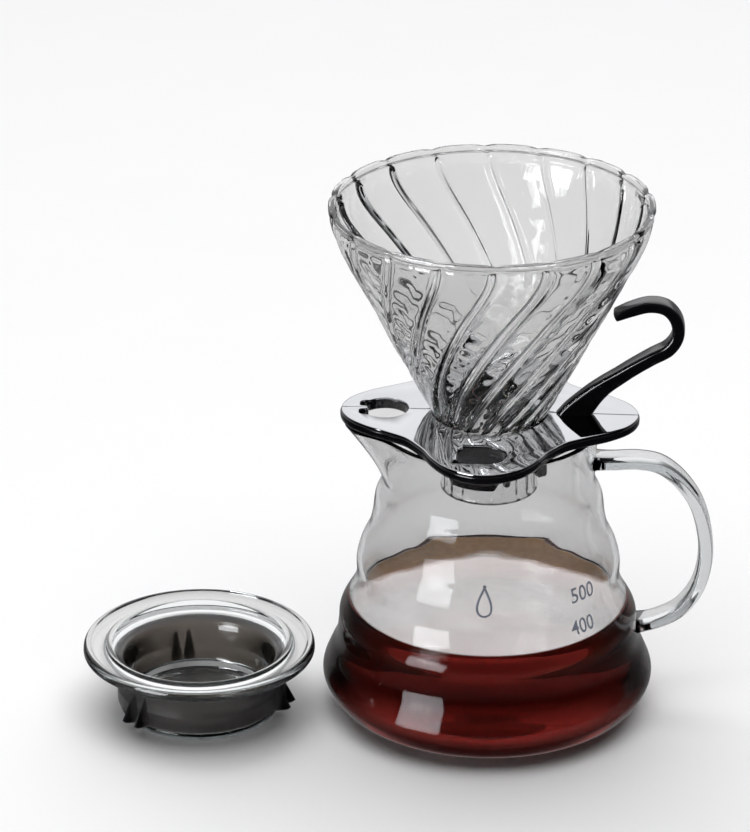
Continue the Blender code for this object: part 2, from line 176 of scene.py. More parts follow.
def smooth(points, steps):
    """Points on a curve that passes through the given ones, with steps points to each stretch."""
    made = []
    last = len(points) - 1
    for i in range(last):
        before = points[max(i - 1, 0)]
        start, end = points[i], points[i + 1]
        after = points[min(i + 2, last)]
        for k in range(steps):
            t = k / steps
            made.append(
                tuple(
                    0.5 * (2 * b + (c - a) * t + (2 * a - 5 * b + 4 * c - d) * t * t
                           + (3 * b - a - 3 * c + d) * t ** 3)
                    for a, b, c, d in zip(before, start, end, after)
                )
            )
    made.append(tuple(points[-1]))
    return made


def inset(outline, distance, closed=False):
    """The outline moved sideways, to the left of its own direction, by the distance."""
    moved = []
    count = len(outline)
    for i, (x, y) in enumerate(outline):
        before = outline[i - 1] if closed or i else outline[i]
        after = outline[(i + 1) % count] if closed or i < count - 1 else outline[i]
        dx, dy = after[0] - before[0], after[1] - before[1]
        length = hypot(dx, dy)
        moved.append((x - dy / length * distance, y + dx / length * distance))
    return moved


def arc(x, y, radius, start, sweep, steps):
    angles = [radians(start + sweep * k / steps) for k in range(steps + 1)]
    return [(x + radius * cos(a), y + radius * sin(a)) for a in angles]


def wave(x, y, z, scale, seed):
    """Smooth noise between about -1 and 1, with the given wavelength in millimetres."""
    return noise.noise(Vector((x / scale + seed, y / scale, z / scale)))


# ---------------------------------------------------------------- meshes


def mesh_object(name, points, faces, turn=0.0, shift=(0.0, 0.0)):
    """A smooth-shaded object from points in millimetres, turned about Z and shifted."""
    points = np.asarray(points, float).copy()
    c, s = cos(radians(turn)), sin(radians(turn))
    x, y = points[:, 0].copy(), points[:, 1].copy()
    points[:, 0] = x * c - y * s + shift[0]
    points[:, 1] = x * s + y * c + shift[1]
    mesh = bpy.data.meshes.new(name)
    mesh.from_pydata((points * MM).tolist(), [], faces)
    mesh.update()
    bm = bmesh.new()
    bm.from_mesh(mesh)
    bmesh.ops.recalc_face_normals(bm, faces=bm.faces)
    bm.to_mesh(mesh)
    bm.free()
    mesh.shade_smooth()
    made = bpy.data.objects.new(name, mesh)
    bpy.context.scene.collection.objects.link(made)
    return made


def skin(name, rings, caps=False, **place):
    """A closed surface through rings of points. The last ring joins the first, or both ends are
    closed with a fan about their middles."""
    count = len(rings[0])
    points = [p for ring in rings for p in ring]
    faces = []
    pairs = [(i, i + 1) for i in range(len(rings) - 1)]
    if not caps:
        pairs.append((len(rings) - 1, 0))
    for a, b in pairs:
        for k in range(count):
            n = (k + 1) % count
            faces.append((a * count + k, a * count + n, b * count + n, b * count + k))
    if caps:
        for index in (0, len(rings) - 1):
            points.append(tuple(np.mean(rings[index], axis=0)))
            middle = len(points) - 1
            for k in range(count):
                faces.append((index * count + k, index * count + (k + 1) % count, middle))
    return mesh_object(name, points, faces, **place)


def turned(name, profile, steps=128, caps=False, **place):
    """A surface turned about Z from (radius, height) points."""
    angles = [2 * pi * k / steps for k in range(steps)]
    rings = [[(r * cos(a), r * sin(a), z) for a in angles] for r, z in profile]
    return skin(name, rings, caps, **place)


def layered(name, outline, layers, **place):
    """A flat plate from one closed outline: each layer is (distance inwards, height)."""
    rings = []
    for inwards, height in layers:
        rings.append([(x, y, height) for x, y in inset(outline, inwards, closed=True)])
    count = len(outline)
    points = [p for ring in rings for p in ring]
    faces = []
    for a in range(len(rings) - 1):
        for k in range(count):
            n = (k + 1) % count
            faces.append((a * count + k, a * count + n, (a + 1) * count + n, (a + 1) * count + k))
    faces.append(tuple(range(count))[::-1])
    faces.append(tuple(range((len(rings) - 1) * count, len(rings) * count)))
    return mesh_object(name, points, faces, **place)


def swept(name, path, sides=32, squareness=3.0, **place):
    """A strap along (x, z, thickness, width) points in the XZ plane, with rounded edges."""
    rings = []
    count = len(path)
    for i, (x, z, thick, wide) in enumerate(path):
        before, after = path[max(i - 1, 0)], path[min(i + 1, count - 1)]
        dx, dz = after[0] - before[0], after[1] - before[1]
        length = hypot(dx, dz)
        across = (-dz / length, dx / length)
        ring = []
        for k in range(sides):
            angle = 2 * pi * (k + 0.5) / sides
            c, s = cos(angle), sin(angle)
            u = abs(c) ** (2 / squareness) * (1 if c > 0 else -1) * thick / 2
            v = abs(s) ** (2 / squareness) * (1 if s > 0 else -1) * wide / 2
            ring.append((x + across[0] * u, v, z + across[1] * u))
        rings.append(ring)
    return skin(name, rings, caps=True, **place)


def apply_modifiers(target):
    """Bakes the target's modifiers into its mesh."""
    graph = bpy.context.evaluated_depsgraph_get()
    made = bpy.data.meshes.new_from_object(target.evaluated_get(graph))
    target.modifiers.clear()
    old = target.data
    target.data = made
    bpy.data.meshes.remove(old)
    return target


def combine(target, operation, *tools, solver="MANIFOLD"):
    """Adds or cuts the tools and removes them."""
    for tool in tools:
        change = target.modifiers.new(tool.name, "BOOLEAN")
        change.operation = operation
        change.solver = solver
        change.object = tool
    apply_modifiers(target)
    for tool in tools:
        bpy.data.objects.remove(tool, do_unlink=True)
    return target


def bevel_edges(target, width, segments=2, angle=40.0):
    change = target.modifiers.new("edges", "BEVEL")
    change.width = width * MM
    change.segments = segments
    change.limit_method = "ANGLE"
    change.angle_limit = radians(angle)
    apply_modifiers(target)
    target.data.shade_smooth()
    target.data.set_sharp_from_angle(angle=radians(42))
    return target


def sharpen(target, angle=42.0):
    target.data.shade_smooth()
    target.data.set_sharp_from_angle(angle=radians(angle))
    return target


def settle(piece, body, slot, look, *nodes):
    """Rides on the body, takes the finish and stands for the CAD nodes."""
    piece.data.materials.clear()
    piece.data.materials.append(look)
    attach(piece, body)
    if nodes:
        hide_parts(*nodes)
    return piece


# ---------------------------------------------------------------- materials


class Look:
    """A node material around one Principled shader, with short calls for its usual nodes."""

    def __init__(self, name, **values):
        self.made = bpy.data.materials.new(name)
        self.made.use_nodes = True
        self.nodes = self.made.node_tree.nodes
        self.links = self.made.node_tree.links
        self.shader = self.nodes["Principled BSDF"]
        self.set(**values)
        place = self.add("ShaderNodeTexCoord")
        self.place = place.outputs["Object"]

    def set(self, **values):
        for key, value in values.items():
            self.shader.inputs[key.replace("_", " ")].default_value = value

    def add(self, kind, **values):
        node = self.nodes.new(kind)
        for key, value in values.items():
            setattr(node, key, value)
        return node

    def noise(self, size, detail=2.0, stretch=None, distortion=0.0):
        """Noise whose features are about size millimetres across."""
        node = self.add("ShaderNodeTexNoise")
        node.inputs["Scale"].default_value = 1.0 / (size * MM)
        node.inputs["Detail"].default_value = detail
        node.inputs["Distortion"].default_value = distortion
        place = self.place
        if stretch:
            mapping = self.add("ShaderNodeMapping")
            mapping.inputs["Scale"].default_value = stretch
            self.links.new(self.place, mapping.inputs["Vector"])
            place = mapping.outputs["Vector"]
        self.links.new(place, node.inputs["Vector"])
        return node.outputs["Fac"]

    def spread(self, value, low, high, new_low, new_high):
        node = self.add("ShaderNodeMapRange")
        node.inputs["From Min"].default_value = low
        node.inputs["From Max"].default_value = high
        node.inputs["To Min"].default_value = new_low
        node.inputs["To Max"].default_value = new_high
        self.links.new(value, node.inputs["Value"])
        return node.outputs["Result"]

    def math(self, operation, one, two):
        node = self.add("ShaderNodeMath", operation=operation)
        for socket, value in zip(node.inputs, (one, two)):
            if isinstance(value, (int, float)):
                socket.default_value = value
            else:
                self.links.new(value, socket)
        return node.outputs["Value"]

    def blend(self, factor, one, two):
        node = self.add("ShaderNodeMix", data_type="RGBA")
        self.links.new(factor, node.inputs["Factor"])
        for name, value in (("A", one), ("B", two)):
            socket = next(s for s in node.inputs if s.name == name and s.type == "RGBA")
            if isinstance(value, tuple):
                socket.default_value = (*value, 1.0)
            else:
                self.links.new(value, socket)
        return next(s for s in node.outputs if s.type == "RGBA")

    def link(self, value, socket):
        self.links.new(value, self.shader.inputs[socket])

    def bump(self, height, strength, distance):
        """Relief on the surface; distance is its depth in millimetres."""
        node = self.add("ShaderNodeBump")
        node.inputs["Strength"].default_value = strength
        node.inputs["Distance"].default_value = distance * MM
        self.links.new(height, node.inputs["Height"])
        before = self.shader.inputs["Normal"].links
        if before:
            self.links.new(before[0].from_socket, node.inputs["Normal"])
        self.links.new(node.outputs["Normal"], self.shader.inputs["Normal"])

    def absorb(self, colour, density):
        node = self.add("ShaderNodeVolumeAbsorption")
        node.inputs["Color"].default_value = (*colour, 1.0)
        node.inputs["Density"].default_value = density
        output = next(n for n in self.nodes if n.type == "OUTPUT_MATERIAL")
        self.links.new(node.outputs["Volume"], output.inputs["Volume"])


def clear_glass(name, tint, density, ripple, ripple_size, gloss=1.0):
    """Soda glass: faint ripples from forming, and a few finger smears that dull it slightly."""
    look = Look(name, Roughness=0.0, IOR=1.48, Transmission_Weight=1.0)
    look.set(Specular_Tint=(gloss, gloss, gloss, 1.0))
    smears = look.spread(look.noise(14, 4.0, distortion=1.2), 0.56, 0.74, 0.0, 0.045)
    look.link(smears, "Roughness")
    shade = look.blend(
        look.noise(30, 2.0), tuple(0.985 * v for v in tint), tuple(min(1.0, 1.015 * v) for v in tint)
    )
    look.link(shade, "Base Color")
    look.bump(look.noise(ripple_size, 1.0), ripple, 0.12)
    look.absorb((0.62, 0.655, 0.67), density)
    return look.made


def black_plastic():
    """Glossy moulded plastic: fine orange peel, hairline scuffs, edges rubbed a little paler."""
    look = Look("black_plastic", IOR=1.42, Coat_Weight=0.15, Coat_Roughness=0.04)
    edge = look.add("ShaderNodeNewGeometry").outputs["Pointiness"]
    rubbed = look.math("MULTIPLY", look.spread(edge, 0.52, 0.60, 0.0, 1.0), look.noise(5, 4.0))
    look.link(look.blend(rubbed, (0.0042, 0.0044, 0.0058), (0.03, 0.03, 0.034)), "Base Color")
    scuffs = look.noise(1.6, 3.0, stretch=(1.0, 9.0, 1.0))
    look.link(look.spread(scuffs, 0.35, 0.8, 0.10, 0.24), "Roughness")
    look.bump(look.noise(0.8, 2.0), 0.10, 0.02)
    return look.made


def mirror_metal():
    """Polished plate: long faint rolling waves, and hairlines that blur the reflection a little."""
    look = Look("mirror_metal", Metallic=1.0)
    look.link(look.blend(look.noise(20), (0.385, 0.39, 0.405), (0.43, 0.435, 0.45)), "Base Color")
    hairs = look.noise(0.5, 3.0, stretch=(0.12, 2.5, 1.0))
    look.link(look.spread(hairs, 0.4, 0.85, 0.012, 0.075), "Roughness")
    look.bump(look.noise(11, 1.0), 0.22, 0.05)
    return look.made


def coffee_look():
    """Brewed coffee: clear red-brown liquid, darker where it is deep, and a near-black band of painted
    shade across its waist.
    Its top is a still mirror with a brown crescent of crema and painted reflection of the bulging wall
    against the back of the glass."""
    look = Look("coffee", Roughness=0.0, IOR=1.333, Transmission_Weight=1.0)
    look.set(Coat_Roughness=0.03, Coat_IOR=2.4, Specular_Tint=(0.15, 0.15, 0.15, 1.0))
    up = look.add("ShaderNodeSeparateXYZ")
    look.links.new(look.add("ShaderNodeNewGeometry").outputs["Normal"], up.inputs["Vector"])
    top = look.spread(up.outputs["Z"], 0.90, 0.99, 0.0, 1.0)
    film = look.spread(look.noise(18, 3.0, distortion=0.8), 0.3, 0.7, 0.78, 1.0)
    place = look.add("ShaderNodeSeparateXYZ")
    look.links.new(look.place, place.inputs["Vector"])
    # Crescent at the back of the top: crema, with a painted reflection of the bulging jug wall, laid on
    # in brown and less clear where that reflection falls.
    across = look.math("POWER", look.math("ABSOLUTE", place.outputs["X"], 0.0), 1.5)
    depth = look.math("ADD", place.outputs["Y"], look.math("MULTIPLY", across, 2.7))
    ragged = look.math("ADD", depth, look.spread(look.noise(9, 3.0), 0, 1, -0.0025, 0.0025))
    crema_and_wall_reflection = look.math("MULTIPLY", look.spread(ragged, 33.0 * MM, 38.0 * MM, 0.0, 1.0), top)
    clear = look.math("SUBTRACT", 1.0, crema_and_wall_reflection)
    film = look.math("MULTIPLY", look.math("MULTIPLY", top, film), look.spread(clear, 0, 1, 0.05, 1.0))
    look.link(film, "Coat Weight")
    look.link(look.math("MULTIPLY", film, 0.72), "Metallic")
    look.link(look.spread(clear, 0, 1, 0.15, 1.0), "Transmission Weight")
    liquid = look.blend(look.noise(25), (0.97, 0.93, 0.90), (1.0, 0.97, 0.95))
    # Painted shade: a near-black band darkens the liquid round its waist. It is full within 5 mm of 27
    # mm up and gone by 15 mm.
    waist = look.math("ABSOLUTE", look.math("SUBTRACT", place.outputs["Z"], 27.0 * MM), 0.0)
    painted_waist_shade = look.spread(waist, 5.0 * MM, 15.0 * MM, 1.0, 0.0)
    liquid = look.blend(painted_waist_shade, liquid, (0.12, 0.08, 0.08))
    # Brown of the crema and of the painted wall reflection.
    crema_and_reflection_colour = look.blend(look.noise(2.6, 4.0), (0.36, 0.15, 0.035), (0.60, 0.33, 0.12))
    look.link(look.blend(crema_and_wall_reflection, liquid, crema_and_reflection_colour), "Base Color")
    look.bump(look.noise(16, 1.0), 0.10, 0.05)
    look.absorb((0.69, 0.20, 0.15), 42.0)
    return look.made


def grey_silicone():
    """Smoky silicone, browner inside where it grips the glass and near black in the fins, with lint
    and dust on it."""
    look = Look("grey_silicone", IOR=1.41, Transmission_Weight=0.88, Coat_Weight=0.12)
    away = look.add("ShaderNodeVectorMath", operation="DISTANCE")
    flat = look.add("ShaderNodeVectorMath", operation="MULTIPLY")
    flat.inputs[1].default_value = (1.0, 1.0, 0.0)
    look.links.new(look.place, flat.inputs[0])
    look.links.new(flat.outputs["Vector"], away.inputs[0])
    away.inputs[1].default_value = (LID_X * MM, LID_Y * MM, 0.0)
    reach = away.outputs["Value"]
    dust = look.spread(look.noise(0.7, 5.0), 0.64, 0.80, 0.0, 0.8)
    outside = look.blend(look.noise(7, 3.0), (0.50, 0.51, 0.54), (0.60, 0.60, 0.62))
    brown = look.blend(look.noise(9, 3.0), (0.66, 0.60, 0.53), (0.74, 0.68, 0.61))
    body = look.blend(look.spread(reach, 28.6 * MM, 29.6 * MM, 0.0, 1.0), brown, outside)
    body = look.blend(look.spread(reach, 30.8 * MM, 33.0 * MM, 0.0, 1.0), body, (0.022, 0.024, 0.032))
    look.link(look.blend(dust, body, (0.24, 0.235, 0.23)), "Base Color")
    look.link(look.spread(look.noise(3, 3.0), 0.3, 0.7, 0.28, 0.46), "Roughness")
    look.bump(look.noise(0.5, 2.0), 0.12, 0.03)
    look.absorb((0.59, 0.55, 0.51), 1150.0)
    return look.made


def white_silicone():
    look = Look("white_silicone", IOR=1.41, Subsurface_Weight=0.3, Subsurface_Scale=0.002)
    look.link(look.blend(look.noise(4, 3.0), (0.62, 0.61, 0.58), (0.74, 0.73, 0.70)), "Base Color")
    look.link(look.spread(look.noise(1.2, 3.0), 0.3, 0.7, 0.42, 0.6), "Roughness")
    look.bump(look.noise(0.4, 2.0), 0.2, 0.03)
    return look.made


def screw_steel():
    look = Look("screw_steel", Metallic=1.0)
    look.link(look.blend(look.noise(1.5, 4.0), (0.48, 0.48, 0.49), (0.66, 0.66, 0.67)), "Base Color")
    look.link(look.spread(look.noise(0.3, 3.0), 0.3, 0.7, 0.22, 0.42), "Roughness")
    look.bump(look.noise(0.15, 2.0), 0.2, 0.02)
    return look.made


def print_ink():
    """Screen-printed blue-grey ink, slightly thin and uneven."""
    look = Look("print_ink", IOR=1.45)
    look.link(look.blend(look.noise(0.6, 4.0), (0.20, 0.215, 0.27), (0.30, 0.315, 0.375)), "Base Color")
    look.link(look.spread(look.noise(0.4, 3.0), 0.3, 0.7, 0.35, 0.6), "Roughness")
    look.bump(look.noise(0.25, 2.0), 0.2, 0.01)
    return look.made


SERVER_GLASS = clear_glass("server_glass_look", (0.765, 0.762, 0.762), 45.0, 0.06, 24.0, 0.24)
CONE_GLASS = clear_glass("dripper_glass_look", (0.80, 0.797, 0.79), 40.0, 0.12, 6.0)
LID_GLASS = clear_glass("lid_glass_look", (0.74, 0.735, 0.725), 60.0, 0.25, 8.0, 0.8)
BLACK = black_plastic()
MIRROR = mirror_metal()
COFFEE = coffee_look()
GREY_SILICONE = grey_silicone()
WHITE_SILICONE = white_silicone()
STEEL = screw_steel()
INK = print_ink()


# ---------------------------------------------------------------- server

SERVER_STEPS = 144


def server_profiles():
    """(outer, inner) wall as (radius, height) lists that run upwards."""
    outer = [(radius, height) for height, radius in smooth(SERVER_OUTLINE, 6)]
    inner = [(r, z) for r, z in inset(outer, SERVER_WALL) if z > 4.6]
    return outer, inner


def spout_radius(radius, height, angle):
    rise = max(0.0, (height - SPOUT_FROM) / (SERVER_RIM - SPOUT_FROM))
    off_axis = degrees(angle - pi) / SPOUT_HALF_ANGLE
    return radius + SPOUT_REACH * rise ** 1.15 * exp(-off_axis * off_axis)


def glass_ripple(radius, height, angle):
    """How far the blown wall strays from a true turned shape."""
    x, y = radius * cos(angle), radius * sin(angle)
    return 0.05 * wave(x, y, height * 0.6, 26.0, 3.0) if height > 1.0 else 0.0


def outer_radius(height, angle):
    """The server's outside radius at a height and a direction."""
    outer = server_profiles()[0]
    radius = float(np.interp(height, [z for r, z in outer], [r for r, z in outer]))
    return radius + glass_ripple(radius, height, angle)


def make_server():
    outer, inner = server_profiles()
    lip_middle = (outer[-1][0] + inner[-1][0]) / 2
    lip = arc(lip_middle, SERVER_RIM - 1.0, 1.0, 20, 140, 8)
    floor = [(0.6, 2.9), (12.0, 2.85), (26.0, 2.6), (38.0, 2.5), (45.0, 2.75), (50.0, 3.7)]
    foot = [(0.6, 0.35), (20.0, 0.3), (36.0, 0.12), (39.2, 0.0)]
    profile = foot + outer + lip + inner[::-1] + smooth(floor, 3)[::-1]
    angles = [2 * pi * k / SERVER_STEPS for k in range(SERVER_STEPS)]
    rings = []
    for radius, height in profile:
        ring = []
        for angle in angles:
            r = spout_radius(radius, height, angle)
            r += glass_ripple(r, height, angle)
            ring.append((r * cos(angle), r * sin(angle), height))
        rings.append(ring)
    jug = skin("server_jug", rings)
    path = []
    route = smooth(GRIP_PATH, 8)
    for i, (x, z) in enumerate(route):
        near_end = min(i, len(route) - 1 - i) / 8
        flare = 1.0 + 0.12 * exp(-(near_end / 0.45) ** 2)
        path.append((x, z, GRIP_THICK * flare, GRIP_WIDE * flare))
    grip = swept("server_grip", path, sides=40, squareness=2.9, turn=GRIP_ANGLE)
    combine(jug, "UNION", grip)
    sharpen(jug, 32)
    settle(jug, "server", "server_glass", SERVER_GLASS, "server_glass", "server_handle")


def make_coffee():
    """The liquid reaches just into the glass, so that no film of air shows between them."""
    inner = server_profiles()[1]
    into_wall = 0.05
    wet = [(r + into_wall, z) for r, z in inner if z < COFFEE_TOP - 0.2]
    edge = float(np.interp(COFFEE_TOP, [z for r, z in inner], [r for r, z in inner])) + into_wall
    meniscus = [(edge, COFFEE_TOP + 0.9), (edge - 0.5, COFFEE_TOP + 0.35)]
    top = meniscus + [(edge - 1.4, COFFEE_TOP + 0.08), (edge - 3.0, COFFEE_TOP), (1.0, COFFEE_TOP)]
    floor = [(1.0, 2.85), (12.0, 2.8), (26.0, 2.55), (38.0, 2.45), (45.0, 2.7), (50.0, 3.65)]
    profile = smooth(floor, 3) + wet + top
    brew = turned("coffee_body", profile, steps=SERVER_STEPS, caps=True)
    sharpen(brew, 50)
    settle(brew, "server", "coffee", COFFEE, "coffee")


# ---------------------------------------------------------------- dripper


def cone_profile():
    """(radius, height, outside) points round the cone's section: outside is 1 on the outer wall and
    0 on the inner one."""
    straight = [(SHOULDER_RADIUS, PLATE_TOP), (36.2, 147.0), (46.8, 168.0), (54.0, 182.0)]
    top = [(56.6, 189.8), (RIM_RADIUS - BEAD_RADIUS, RIM_TOP - 2 * BEAD_RADIUS)]
    curve = smooth(straight + top, 12)
    heights = np.linspace(curve[0][1], curve[-1][1], 110)
    wall = [(float(np.interp(z, [q for p, q in curve], [p for p, q in curve])), z) for z in heights]
    neck = [(NECK_RADIUS - 1.4, NECK_BOTTOM), (NECK_RADIUS - 0.2, NECK_BOTTOM + 0.25)]
    neck += [(NECK_RADIUS + 0.35, NECK_BOTTOM + 0.9), (NECK_RADIUS + 0.3, NECK_BOTTOM + 1.5)]
    neck += [(NECK_RADIUS - 0.05, NECK_BOTTOM + 2.3)]
    neck += [(NECK_RADIUS, z) for z in np.linspace(NECK_BOTTOM + 3.2, SHOULDER_BOTTOM - 0.3, 12)]
    neck += [(NECK_RADIUS + 1.2, SHOULDER_BOTTOM + 0.1), (SHOULDER_RADIUS - 0.8, SHOULDER_BOTTOM + 0.3)]
    neck += [(SHOULDER_RADIUS, SHOULDER_BOTTOM + 1.2), (SHOULDER_RADIUS, PLATE_TOP - 1.5)]
    outside = [(r, z, 1.0) for r, z in neck + wall]
    bead_x = RIM_RADIUS - BEAD_RADIUS
    bead_z = RIM_TOP - BEAD_RADIUS
    bead = []
    for k in range(21):
        a = radians(-50 + 290 * k / 20)
        c, q = cos(a), sin(a)
        bead.append((bead_x + BEAD_RADIUS * abs(c) ** 0.45 * (1 if c > 0 else -1),
                     bead_z + BEAD_RADIUS * abs(q) ** 0.45 * (1 if q > 0 else -1)))
    inner_wall = [(r, z) for r, z in inset(wall, CONE_WALL) if PLATE_TOP + 1 < z < RIM_TOP - 3.9]
    outlet = [(NECK_RADIUS - CONE_WALL, z) for z in np.linspace(111.0, NECK_BOTTOM + 1.2, 12)]
    inside = [(r, z, 0.0) for r, z in inner_wall[::-1] + outlet]
    return outside + [(r, z, 0.5) for r, z in bead] + inside


def rib_columns():
    """Angles round the cone, closer together at each rib, with the distance to its rib as a part of
    the way to the next."""
    parts = [0.0, 0.010, 0.021, 0.033, 0.046, 0.062, 0.082, 0.11, 0.15, 0.195]
    parts += [0.245, 0.295, 0.345, 0.395, 0.447]
    offsets = [-p for p in parts[:0:-1]] + parts + [0.5]
    step = 360.0 / RIB_COUNT
    return [(RIB_PHASE + step * (rib + p), p * step) for rib in range(RIB_COUNT) for p in offsets]


def make_cone():
    """Each rib is a ridge inside with a sharp crease outside it. The panels between bow outwards,
    and fine slanting waves from pressing run across them."""
    columns = rib_columns()
    step = 360.0 / RIB_COUNT
    bead_x = RIM_RADIUS - BEAD_RADIUS
    bead_z = RIM_TOP - BEAD_RADIUS
    rings = []
    for radius, height, outside in cone_profile():
        twist = RIB_TWIST * log(radius / RIM_RADIUS)
        in_wall = min(max((height - PLATE_TOP - 0.5) / 5.0, 0.0), 1.0)
        near_rim = min(max((RIM_TOP - 1.5 * BEAD_RADIUS - height) / 3.0, 0.0), 1.0)
        low = min(max((168.0 - height) / 40.0, 0.0), 1.0)
        ring = []
        for angle, off in columns:
            away = abs(radians(off)) * radius
            lean = 1.0 if off > 0 else 1.15
            ridge = exp(-((away / (RIB_HALF * lean)) ** 2))
            flute = exp(-hypot(away, 0.2) / FLUTE_HALF)
            bow = 0.5 - 0.5 * cos(2 * pi * off / step)
            turn = radians(angle + twist)
            x, y = radius * cos(turn), radius * sin(turn)
            phase = 2 * pi * RING_WAVES * log(radius) + 1.6 * wave(x, y, height, 24.0, 5.0) + off / 5
            swell = (0.0017 + 0.0004 * low) * radius * (0.35 + 0.65 * bow)
            ripple = swell * sin(phase) + (0.01 + 0.03 * low) * wave(x, y, height, 9.0, 11.0)
            sink = 0.0
            if outside == 1.0:
                r = radius - in_wall * (FLUTE_DEPTH * flute - 0.32 * bow - 0.1 - ripple)
            elif outside == 0.0:
                r = radius - near_rim * (0.3 + 0.7 * in_wall) * RIB_HEIGHT * ridge
            else:
                pinch = exp(-((away / 2.4) ** 2))
                fat = 0.88 - 0.25 * pinch
                r = bead_x + (radius - bead_x) * fat - 0.35 * pinch + 0.1
                sink = height - bead_z - (height - bead_z) * fat
            if height > RIM_TOP - 3.2 * BEAD_RADIUS:
                sink += 0.25 * flute
            ring.append((r * cos(turn), r * sin(turn), height - sink))
        rings.append(ring)
    cone = skin("dripper_cone", rings)
    settle(cone, "cone", "dripper_glass", CONE_GLASS, "dripper_glass")


def plate_outline(steps=8):
    """The plate's four-lobed outline, counter-clockwise from the side lobe."""
    quarter = list(PLATE_LOBES)
    half = quarter + [(180 - a, r) for a, r in quarter[-2::-1]]
    whole = half + [(a + 180, r) for a, r in half[1:]]
    second = quarter[1]
    around = smooth([(-second[0], second[1])] + whole + [(360 + second[0], second[1])], steps)
    return [(r * cos(radians(a)), r * sin(radians(a))) for a, r in around if -0.01 <= a < 359.9]


def finger_hole(grow=0.0):
    """The round hole in the side lobe, joined to a notch with a small tongue in its far side."""
    meet = degrees(atan2(sqrt(HOLE_RADIUS ** 2 - NOTCH_HALF ** 2), NOTCH_HALF)) + 90
    bow = arc(HOLE_X, 0, HOLE_RADIUS + grow, -meet, 2 * meet, 48)
    half = NOTCH_HALF + grow
    left = NOTCH_LEFT - grow
    tongue = 1.5 - grow
    tip = left + TONGUE_REACH + grow
    corner = 2.1
    notch = arc(left + corner, half - corner, corner, 90, 90, 7)
    notch += [(left, tongue + 0.9), (left + 0.5, tongue + 0.2)]
    notch += arc(tip - 0.8, 0.0, tongue, 90, -180, 8)
    notch += [(left + 0.5, -tongue - 0.2), (left, -tongue - 0.9)]
    notch += arc(left + corner, corner - half, corner, 180, 90, 7)
    return bow + notch


def window(side, grow=0.0):
    """The D-shaped sight window, with a small step at each end of its straight side."""
    half = (WINDOW_FAR - WINDOW_NEAR) / 2
    middle = side * (WINDOW_NEAR + half)
    bow = arc(WINDOW_RIGHT - half, middle, half + grow, -90, 180, 32)
    left = WINDOW_LEFT - grow
    top = middle + half + grow
    bottom = middle - half - grow
    step = 2.6
    return bow + [
        (left + 1.8, top), (left + 1.8, top - step), (left, top - step - 1.0),
        (left, bottom + step + 1.0), (left - 1.4, bottom + step), (left - 1.4, bottom),
    ]


def prism(name, outline, bottom, top):
    return layered(name, outline, [(0.0, bottom), (0.0, top)], turn=DRIPPER_TURN)


def circle(x, y, radius, steps=48):
    return arc(x, y, radius, 0, 360, steps)[:-1]


def make_plate():
    layers = [
        (1.6, PLATE_BOTTOM), (0.8, PLATE_BOTTOM + 0.12), (0.3, PLATE_BOTTOM + 0.45),
        (0.06, PLATE_BOTTOM + 0.95), (0.0, PLATE_BOTTOM + 1.6), (0.0, PLATE_BOTTOM + 2.6),
        (0.05, PLATE_BOTTOM + 2.9), (0.3, COVER_BOTTOM - 0.08), (0.8, COVER_BOTTOM - 0.02),
    ]
    plate = layered("plate_body", plate_outline(), layers, turn=DRIPPER_TURN)
    hub = turned(
        "hub",
        [(NECK_RADIUS + 0.4, HUB_BOTTOM + 0.5), (NECK_RADIUS + 0.9, HUB_BOTTOM),
         (HUB_RADIUS - 0.6, HUB_BOTTOM), (HUB_RADIUS, HUB_BOTTOM + 0.6),
         (HUB_RADIUS, PLATE_BOTTOM + 1), (NECK_RADIUS + 0.4, PLATE_BOTTOM + 1)],
    )
    tabs = []
    for number, (angle, wide, higher) in enumerate(TABS):
        foot = TAB_BOTTOM + higher
        spread = degrees(wide / TAB_RADIUS / 2)
        outer = arc(0, 0, TAB_RADIUS + TAB_THICK / 2, angle - spread, 2 * spread, 10)
        inner = arc(0, 0, TAB_RADIUS - TAB_THICK / 2, angle - spread, 2 * spread, 10)
        layers = [(0.7, foot), (0.25, foot + 0.4), (0.0, foot + 1.2), (0.0, PLATE_BOTTOM + 1)]
        tabs.append(layered(f"tab_{number}", outer + inner[::-1], layers, turn=DRIPPER_TURN))
    combine(plate, "UNION", hub, *tabs)
    bore = turned(
        "bore",
        [(SHOULDER_RADIUS + 0.4, 109.0), (SHOULDER_RADIUS + 0.4, PLATE_TOP + 2)],
        caps=True,
    )
    cutters = [bore, prism("hole", finger_hole(), CUT_LOW, CUT_HIGH)]
    cutters += [prism(f"window_{side}", window(side), CUT_LOW, CUT_HIGH) for side in (-1, 1)]
    combine(plate, "DIFFERENCE", *cutters)
    sharpen(plate)
    settle(plate, "base", "black_plastic", BLACK, "base_plate")


def make_covers():
    layers = [
        (0.42, COVER_BOTTOM), (0.40, PLATE_TOP - 0.35), (0.48, PLATE_TOP - 0.16),
        (0.68, PLATE_TOP - 0.05), (1.0, PLATE_TOP - 0.01), (1.5, PLATE_TOP),
    ]
    for side, word in ((-1, "front"), (1, "rear")):
        cover = layered(f"mirror_{word}", plate_outline(), layers, turn=DRIPPER_TURN)
        far = 70.0
        near = side * 0.12
        other = [(-far, near), (far, near), (far, -side * far), (-far, -side * far)]
        if side > 0:
            other = other[::-1]
        shapes = (
            ("half", other),
            ("bore", circle(0, 0, SHOULDER_RADIUS + 0.6, 96)),
            ("hole", finger_hole(COVER_CLEAR)),
            ("sight", window(side, COVER_CLEAR)),
        )
        cutters = [prism(cut, shape, CUT_LOW, CUT_HIGH) for cut, shape in shapes]
        combine(cover, "DIFFERENCE", *cutters)
        bevel_edges(cover, 0.18, 3)
        settle(cover, "base", "mirror_cover", MIRROR, f"cover_{word}")


